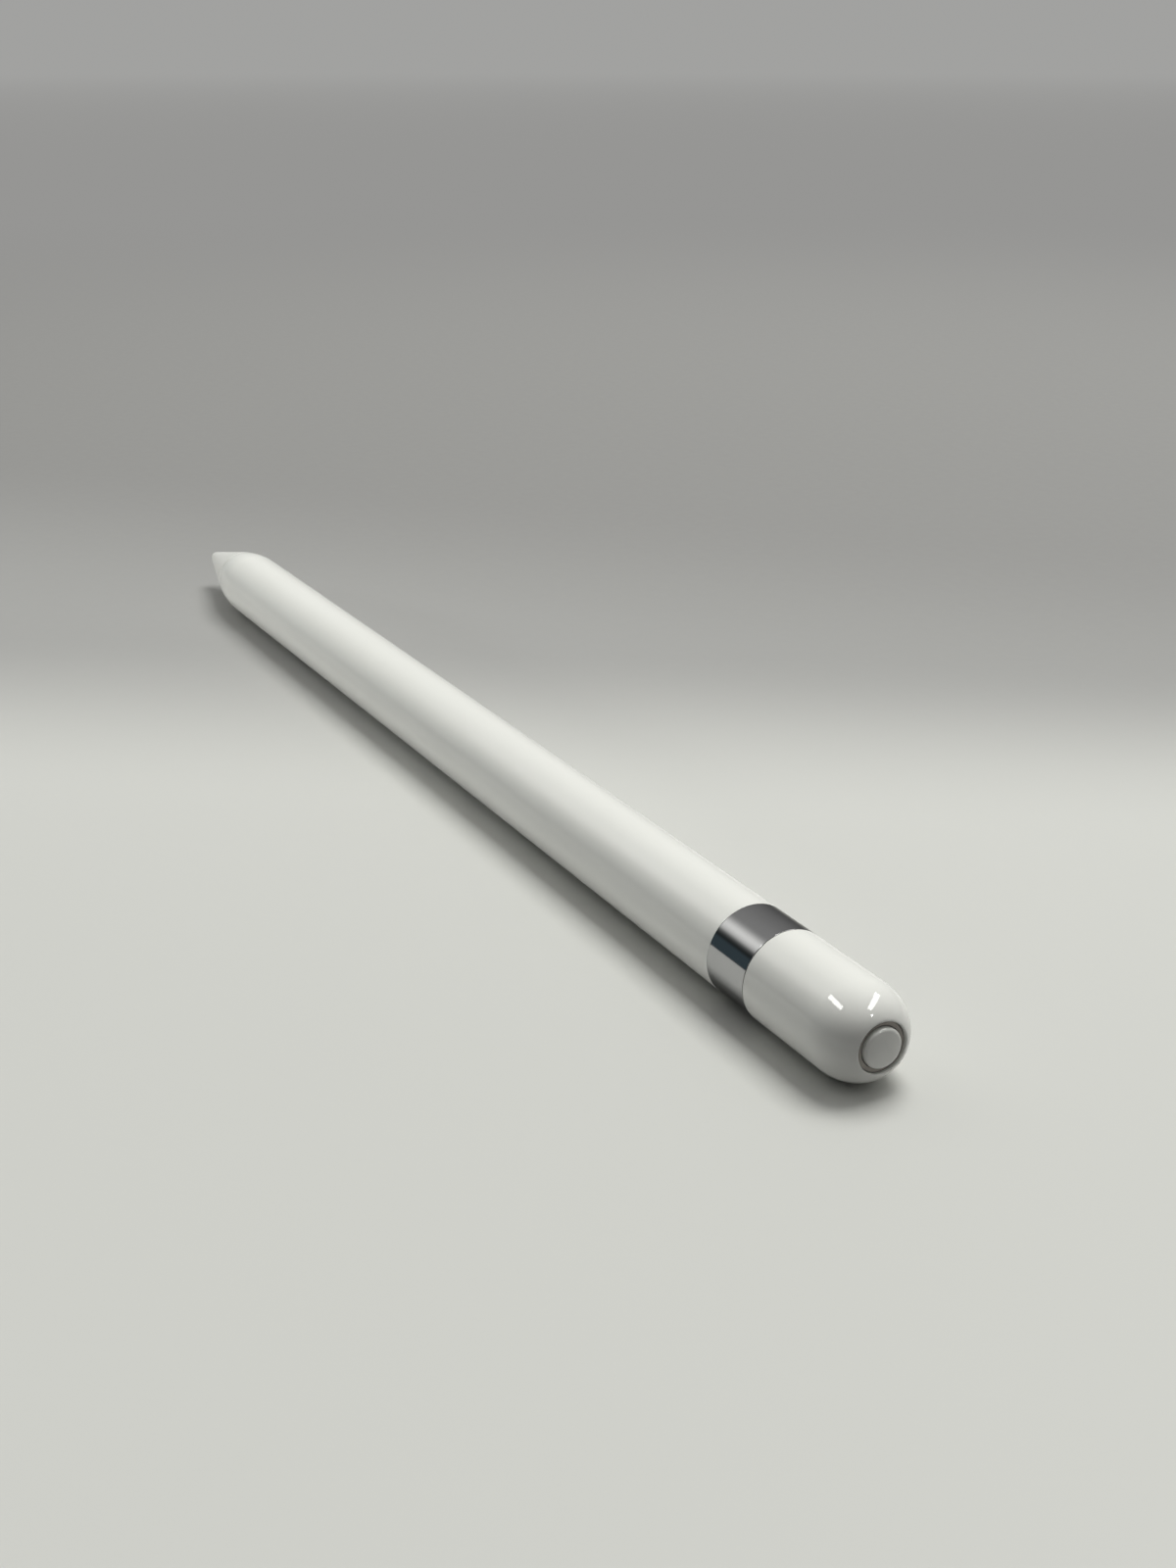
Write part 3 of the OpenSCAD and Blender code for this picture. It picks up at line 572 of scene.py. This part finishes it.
# %% Turn the post and cut its thread
turned_steel = metal("turned_steel", (0.64, 0.645, 0.66), (0.50, 0.505, 0.52), (0.16, 0.34),
                     (24, 0.6, 0.6), 0.003)
THREAD_LEN, THREAD_DEPTH, LEAD_IN = 3.6, 0.24, 0.25
POST_R, NECK_R, SHANK_R, PIN_BORE_R = 1.5, 1.25, 0.9, 0.58
SHANK_FROM = 23.5
post_from, post_to, _ = stations("sensor_post")
thread_from = post_from + LEAD_IN
thread_to = thread_from + THREAD_LEN
tip = [(post_from, PIN_BORE_R, 0), (post_from, NECK_R, 0.03)]
rows = [(place, POST_R, 0) for place in spread(thread_from, thread_to, 73)]
neck = [(thread_to + LEAD_IN, NECK_R, 0.05), (nose, NECK_R, 0.05), (nose + LEAD_IN, POST_R, 0.05)]
shank = [(SHANK_FROM, POST_R, 0.05), (SHANK_FROM, SHANK_R, 0), (post_to, SHANK_R, 0.03),
         (post_to, PIN_BORE_R, 0)]
turned("sensor_post", tip + rows + neck + shank, turned_steel, "post", steps=96,
       thread=(THREAD_PITCH, THREAD_DEPTH, thread_from, thread_to))

# %% [markdown]
# ## The plug's contacts
# Under the cap is a flat plug with a row of gold contacts on each face. They repeat, so one
# contact is modelled with rounded ends and softened edges, and a second tree sets it along a
# line, turns a copy of the row to the other face and makes it all real mesh.

# %% Set out the contacts
def contact_tree():
    tree = new_geometry_tree("set_out_contacts", [
        ("Contact", "Geometry"), ("Count", "Int"), ("Pitch", "Float"), ("Axis height", "Float"),
        ("Finish", "Material")])
    bench = Bench(tree)
    given = bench.add("NodeGroupInput")
    count, pitch = given.out("Count"), given.out("Pitch")
    start = bench.add("ShaderNodeCombineXYZ", {}, {1: (1 - count) * pitch / 2})
    offset = bench.add("ShaderNodeCombineXYZ", {}, {1: pitch})
    line = bench.add("GeometryNodeMeshLine", {}, {
        "Count": count, "Start Location": start, "Offset": offset})
    row = bench.add("GeometryNodeInstanceOnPoints", {}, {"Points": line, "Instance": given})
    back = bench.add("ShaderNodeCombineXYZ", {}, {2: given.out("Axis height") * 2})
    below = bench.add("GeometryNodeTransform", {}, {
        0: row, "Translation": back, "Rotation": (math.pi, 0, 0)})
    both = bench.add("GeometryNodeJoinGeometry", {}, {0: row})
    tree.links.new(below.socket, both.node.inputs[0])
    real = bench.add("GeometryNodeRealizeInstances", {}, {0: both})
    done = bench.add("GeometryNodeSetMaterial", {}, {0: real, "Material": given.out("Finish")})
    bench.add("NodeGroupOutput", {}, {0: done})
    return tree


def one_contact(low, high, width):
    """A slim pad with half-round ends, its top edge softened."""
    work = bmesh.new()
    half = width / 2
    bend = [(half * math.cos(t), half * math.sin(t)) for t in spread(-math.pi / 2, math.pi / 2, 9)]
    ring = [(high.x - half + x, y) for x, y in bend] + [(low.x + half - x, -y) for x, y in bend]
    thick, soft = 0.05 * MM, 0.015 * MM
    face = work.faces.new([work.verts.new((x, y, high.z - thick)) for x, y in ring])
    top = bmesh.ops.extrude_face_region(work, geom=[face])
    lifted = [v for v in top["geom"] if isinstance(v, bmesh.types.BMVert)]
    bmesh.ops.translate(work, verts=lifted, vec=(0, 0, thick))
    rim_edges = [e for e in work.edges if all(v.co.z > high.z - thick / 2 for v in e.verts)]
    bmesh.ops.bevel(work, geom=rim_edges, offset=soft, segments=2, affect="EDGES", profile=0.5)
    mesh = bpy.data.meshes.new("contact")
    work.to_mesh(mesh)
    work.free()
    return mesh


CONTACTS, CONTACT_WIDTH, CONTACT_PITCH = 8, 0.36 * MM, 0.58 * MM
gold = metal("gold_plate", (0.86, 0.66, 0.30), (0.76, 0.55, 0.22), (0.12, 0.26),
             (1, 18, 18), 0.001)
pad = one_contact(*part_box("plug_contacts"), CONTACT_WIDTH)
contacts = bpy.data.objects.new("gold_contacts", pad)
bpy.context.scene.collection.objects.link(contacts)
run_tree(contacts, contact_tree(), Count=CONTACTS, Pitch=CONTACT_PITCH, Axis_height=axis_z,
         Finish=gold)
hand_over(contacts, "barrel", "plug_contacts")
print("contacts:", len(contacts.data.polygons), "faces")

# %% [markdown]
# ## Finishes of the inner metals
# The pieces inside keep their CAD meshes, because their shapes are right, and get a finish each.
# Metals differ by colour and by how they were worked: turning leaves rings round the axis, rolling
# leaves lines along the sheet, plating leaves a fine even grain. The stretch of the noise says
# which.

# %% Sheet, spring, frame and plating
finishes = {
    "machined_steel": turned_steel,
    "gilded_brass": gold,
    "spring_steel": metal("spring_strip", (0.68, 0.69, 0.71), (0.58, 0.59, 0.61), (0.12, 0.25),
                          (0.5, 20, 20), 0.001),
    "frame_steel": metal("satin_frame", (0.50, 0.51, 0.53), (0.38, 0.39, 0.41), (0.30, 0.48),
                         (0.6, 9, 9), 0.004),
    "tinned_sheet": metal("tinned_sheet", (0.74, 0.74, 0.73), (0.62, 0.62, 0.60), (0.22, 0.42),
                          (2.2, 2.2, 2.2), 0.003),
    "plug_steel": metal("plated_plug", (0.72, 0.72, 0.715), (0.62, 0.62, 0.615), (0.20, 0.34),
                        (1.0, 16, 16), 0.0015),
    "copper_sheet": metal("copper_foil", (0.80, 0.48, 0.31), (0.66, 0.36, 0.22), (0.18, 0.36),
                          (0.6, 12, 12), 0.002),
    "battery_can": metal("drawn_can", (0.70, 0.70, 0.715), (0.58, 0.58, 0.60), (0.20, 0.36),
                         (0.15, 7, 7), 0.003),
    "nickel_magnet": metal("nickel_plate", (0.68, 0.665, 0.63), (0.56, 0.55, 0.52), (0.14, 0.30),
                           (5, 5, 5), 0.002),
}
print("metals:", sorted(finishes))

# %% [markdown]
# ## Moulded plastics
# The bush, the antenna's tube, the insulator and the chips are moulded. A mould is spark-eroded,
# so such plastic has a fine, even grain and a soft sheen that changes a little from place to
# place.

# %% Amber, grey and black plastic
def moulded(name, light, dark, rough, grains, depth_mm):
    """Plastic with `grains` to the millimetre, in patches from dark to light."""
    finish, bench = new_finish(name)
    low, high = rough
    place = place_mm(bench)
    grain = cloud(bench, place, grains, 2.0)
    flow = cloud(bench, place, 0.3, 3.0)
    surface(bench,
            Base_Color=bench.mix(flow * 0.7 + grain * 0.3, (*dark, 1), (*light, 1)),
            Roughness=low + flow * (high - low),
            Normal=bumped(bench, grain, 0.25, depth_mm))
    return finish


finishes["amber_plastic"] = moulded("amber_insulator", (0.75, 0.57, 0.31), (0.64, 0.46, 0.23),
                                    (0.30, 0.45), 4.0, 0.004)
finishes["grey_plastic"] = moulded("grey_moulding", (0.30, 0.30, 0.31), (0.23, 0.23, 0.24),
                                   (0.40, 0.58), 6.0, 0.006)
finishes["black_plastic"] = moulded("black_moulding", (0.035, 0.035, 0.037), (0.02, 0.02, 0.021),
                                    (0.38, 0.55), 8.0, 0.005)
print("plastics made")

# %% [markdown]
# ## Boards and flat cables
# A circuit board is glass cloth under a green mask. Copper tracks lie under the mask and lift it a
# little, and round pads lie bare and tinned. A flat cable is amber film over parallel copper
# tracks. Both patterns come from distances: lines from the place across, dots from a Voronoi cell.

# %% Green board and orange film
def green_board():
    finish, bench = new_finish("masked_board")
    place = place_mm(bench)
    weave = cloud(bench, place_mm(bench, (7, 7, 7)), 1.0)
    wander = cloud(bench, place, 0.35, 0.0)
    across = bench.add("ShaderNodeSeparateXYZ", {}, {0: place}).out("Y")
    line = abs(((across + wander * 1.6) / 0.5).math("FRACT") - 0.5)
    track = (1 - line.step(0.14, 0.2)) * wander.step(0.45, 0.5)
    cell = bench.add("ShaderNodeTexVoronoi", {}, {"Vector": place, "Scale": 0.55})
    pad = 1 - cell.step(0.12, 0.15)
    mask = bench.mix(track, (0.018, 0.135, 0.06, 1), (0.05, 0.26, 0.12, 1))
    surface(bench,
            Base_Color=bench.mix(pad, mask, (0.72, 0.70, 0.66, 1)),
            Metallic=pad,
            Roughness=0.36 + weave * 0.08 - pad * 0.1,
            Normal=bumped(bench, track * 0.6 + weave * 0.2 + pad * 0.5, 0.4, 0.02))
    return finish


def orange_film():
    finish, bench = new_finish("flex_film")
    place = place_mm(bench)
    across = bench.add("ShaderNodeSeparateXYZ", {}, {0: place}).out("Y")
    line = abs((across / 0.42).math("FRACT") - 0.5)
    track = 1 - line.step(0.22, 0.28)
    cloudy = cloud(bench, place, 0.8, 3.0)
    film = bench.mix(cloudy, (0.60, 0.25, 0.05, 1), (0.72, 0.34, 0.08, 1))
    surface(bench,
            Base_Color=bench.mix(track, film, (0.80, 0.45, 0.16, 1)),
            Roughness=0.24 + cloudy * 0.12,
            Normal=bumped(bench, track, 0.35, 0.015))
    return finish


finishes["green_board"] = green_board()
finishes["orange_flex"] = orange_film()
finishes["white_gloss"] = white
finishes["polished_band"] = mirror_steel
finishes["dark_trim"] = dark_trim
print("finishes for all", len(finishes), "slots")

# %% [markdown]
# ## Dress the pieces that keep their meshes
# The record of the part names a material slot for each CAD node, so one loop gives every node the
# finish of its slot. The shapes aren't touched, and the nodes that a turned piece stands for are
# already hidden.

# %% Dress the CAD nodes
for node, slot in slot_of.items():
    piece = frame["nodes"][node]
    for holder in piece.material_slots:
        holder.material = finishes[slot]
print("dressed", sum(not frame["nodes"][n].hide_render for n in slot_of), "CAD nodes")

# %% [markdown]
# ## The table
# The stylus lies on a plain pale table that falls off into grey behind it, as in the picture.
# The grey is painted shade in the table's colour, in place of light that fades with distance: the
# colour follows the distance along the view, a little sooner on the right. Light Path nodes give
# it two more properties. It is pale to the camera and to mirrors, but throws back only part of its
# light to other things, and least beyond the cap, where a darker bounce colour is painted shade on
# the camera's side. And far out the camera sees an even grey, so that no edge shows behind.

# %% The table's finish
# PALE is the table's own colour; the middle and far greys are painted shade
PALE, MIDDLE_PAINTED_SHADE, FAR_PAINTED_SHADE = (0.63, 0.635, 0.606, 1), (0.365, 0.365, 0.355, 1), (0.28, 0.278, 0.271, 1)
BACKDROP, HIGH_BACKDROP = (0.305, 0.303, 0.296, 1), (0.36, 0.36, 0.352, 1)
# the low bounce colour is painted shade on the camera's side beyond the cap
BOUNCE, PAINTED_SHADE_BOUNCE = (0.62, 0.62, 0.61, 1), (0.06, 0.06, 0.06, 1)
BEYOND_CAP = (0.903, -0.43, 0)


def seen(bench):
    """1 for the camera and for what mirrors and glass show, 0 for light that falls on things."""
    ray = bench.add("ShaderNodeLightPath", out="Is Camera Ray")
    mirrored = ray.math("MAXIMUM", ray.out("Is Glossy Ray"))
    return mirrored.math("MAXIMUM", ray.out("Is Transmission Ray"))


def along(bench, way, direction):
    """How far `way` reaches in a direction."""
    return bench.add("ShaderNodeVectorMath", {"operation": "DOT_PRODUCT"},
                     {0: way, 1: direction}, "Value")


def table_top(ahead, right):
    finish, bench = new_finish("table_top")
    place = bench.add("ShaderNodeTexCoord", out="Object")
    depth, across = along(bench, place, ahead), along(bench, place, right)
    reach = bench.add("ShaderNodeVectorMath", {"operation": "LENGTH"}, {0: place}, "Value")
    speck = cloud(bench, place_mm(bench), 0.5, 3.0)
    # painted shade: the colour darkens into grey with distance along the view, sooner on the right
    tone = bench.mix((depth + across * 0.1).step(-0.016, 0.045), PALE, MIDDLE_PAINTED_SHADE)
    tone = bench.mix((depth + across * 0.35).step(0.02, 0.14), tone, FAR_PAINTED_SHADE)
    shown = seen(bench)
    top = bench.add("ShaderNodeBsdfPrincipled", {}, {
        "Base Color": tone, "Roughness": 0.5 + speck * 0.08})
    # painted shade: beyond the cap the table throws back a darker colour to light that falls on
    # things
    shade_beyond_cap = along(bench, place, BEYOND_CAP).step(0.078, 0.091)
    bounce = bench.mix(shade_beyond_cap, BOUNCE, PAINTED_SHADE_BOUNCE)
    shaded_bounce_shader = bench.add("ShaderNodeBsdfDiffuse", {}, {"Color": bounce})
    near = bench.add("ShaderNodeMixShader", {}, {0: shown, 1: shaded_bounce_shader, 2: top})
    grey = bench.mix(reach.step(1.0, 6.0), BACKDROP, HIGH_BACKDROP)
    even = bench.add("ShaderNodeEmission", {}, {"Color": grey, "Strength": 1.0})
    faded = bench.add("ShaderNodeMixShader", {}, {
        0: reach.step(0.25, 0.8) * shown, 1: near, 2: even})
    bench.add("ShaderNodeOutputMaterial", {}, {"Surface": faded})
    return finish


ahead = Vector((looking.x, looking.y, 0)).normalized()
right = Vector((ahead.y, -ahead.x, 0))
table_finish = table_top(ahead, right)
print("made", table_finish.name)

# %% Lay the table
HALF = 6
corners = [(-HALF, -HALF, 0), (HALF, -HALF, 0), (HALF, HALF, 0), (-HALF, HALF, 0)]
floor_mesh = bpy.data.meshes.new("table")
floor_mesh.from_pydata(corners, [], [(0, 1, 2, 3)])
floor_mesh.materials.append(table_finish)
table = bpy.data.objects.new("table", floor_mesh)
bpy.context.scene.collection.objects.link(table)
print("table laid")

# %% [markdown]
# ## The light
# Most of the light comes from a soft panel overhead, and a narrow lamp from the left lifts the
# far half of the barrel. Neither shows in the gloss of the picture, so both are kept out of
# reflections. What does show are two long ceiling lamps, the two white bars on the dome, and a
# small lamp below the right one. These three are there to be mirrored and add no other light.

# %% Panel, side lamp and ceiling lamps
LAMP_COLOUR = (1.0, 1.0, 0.975)


def add_lamp(name, kind, place, aim, power, size, mirrored):
    data = bpy.data.lights.new(name, kind)
    data.energy, data.color = power, LAMP_COLOUR
    if kind == "AREA":
        data.shape = "RECTANGLE"
        data.size, data.size_y = size
    else:
        data.spot_size, data.spot_blend, data.shadow_soft_size = size
    lamp = bpy.data.objects.new(name, data)
    bpy.context.scene.collection.objects.link(lamp)
    lamp.location = place
    lamp.rotation_euler = aim
    lamp.visible_glossy, lamp.visible_diffuse = mirrored, not mirrored


def ceiling_lamp(name, start, end, width, power):
    start, end = Vector(start), Vector(end)
    turn = math.atan2(end.y - start.y, end.x - start.x)
    size = ((end - start).length, width)
    add_lamp(name, "AREA", (start + end) / 2, (0, 0, turn), power, size, True)


def side_lamp(name, place, target, power, cone):
    aim = (Vector(target) - Vector(place)).to_track_quat("-Z", "Y").to_euler()
    add_lamp(name, "SPOT", place, aim, power, (math.radians(cone), 1.0, 0.06), False)


add_lamp("soft_panel", "AREA", (-0.20, 0.46, 1.2), (0, 0, 0), 14.6, (0.7, 0.7), False)
side_lamp("side_lamp", (-0.55, -0.62, 0.22), (-0.07, 0.0, 0.004), 8.5, 10)
ceiling_lamp("lamp_left", (-0.885, -0.52, 1.0), (-0.03, -0.665, 1.0), 0.21, 6.6)
ceiling_lamp("lamp_right", (-0.15, 0.96, 1.0), (0.555, 0.188, 1.0), 0.2, 7.4)
ceiling_lamp("lamp_small", (0.84, 0.205, 1.0), (1.0, 0.235, 1.0), 0.11, 2.3)
print("lamps hung")

# %% [markdown]
# ## The room
# A mirror shows the room, so the room needs light and dark. It is painted by direction: an even
# grey behind, darker towards the camera's side, a dark strip low on the left and above it a bright
# patch like a far window. The polished band mirrors these as its stripes.

# %% The room
def paint_room():
    world = bpy.data.worlds.new("grey_room")
    world.use_nodes = True
    bpy.context.scene.world = world
    bench = Bench(world.node_tree)
    way = bench.add("ShaderNodeTexCoord", out="Generated")

    def towards(direction):
        return along(bench, way, Vector(direction).normalized())

    height = towards((0, 0, 1))
    room = bench.mix(height.step(0.5, 1.0), (0.33, 0.33, 0.325, 1), (0.5, 0.5, 0.49, 1))
    near_side = towards((0.8, -0.6, 0)).step(-0.1, 0.6) * (1 - height.step(0.5, 0.95))
    room = bench.mix(near_side * 0.9, room, (0.04, 0.04, 0.042, 1))
    low_strip = towards((-0.777, -0.629, 0)).step(0.6, 0.85) * (1 - height.step(0.42, 0.50))
    strip = bench.mix(height.step(0.24, 0.34), (0.055, 0.078, 0.09, 1), (0.026, 0.031, 0.032, 1))
    room = bench.mix(low_strip, room, strip)
    window = ((towards((-0.762, -0.32, 0.562)) - 0.92) / 0.08).clamped().math("POWER", 5)
    room = bench.mix(window, room, (1.22, 1.22, 1.18, 1))
    camera_ray = bench.add("ShaderNodeLightPath", out="Is Camera Ray")
    room = bench.mix(camera_ray, room, HIGH_BACKDROP)
    sky = bench.add("ShaderNodeBackground", {}, {"Color": room, "Strength": 1.0})
    bench.add("ShaderNodeOutputWorld", {}, {"Surface": sky})


paint_room()
bpy.context.scene.view_settings.view_transform = "Standard"
print("room painted")
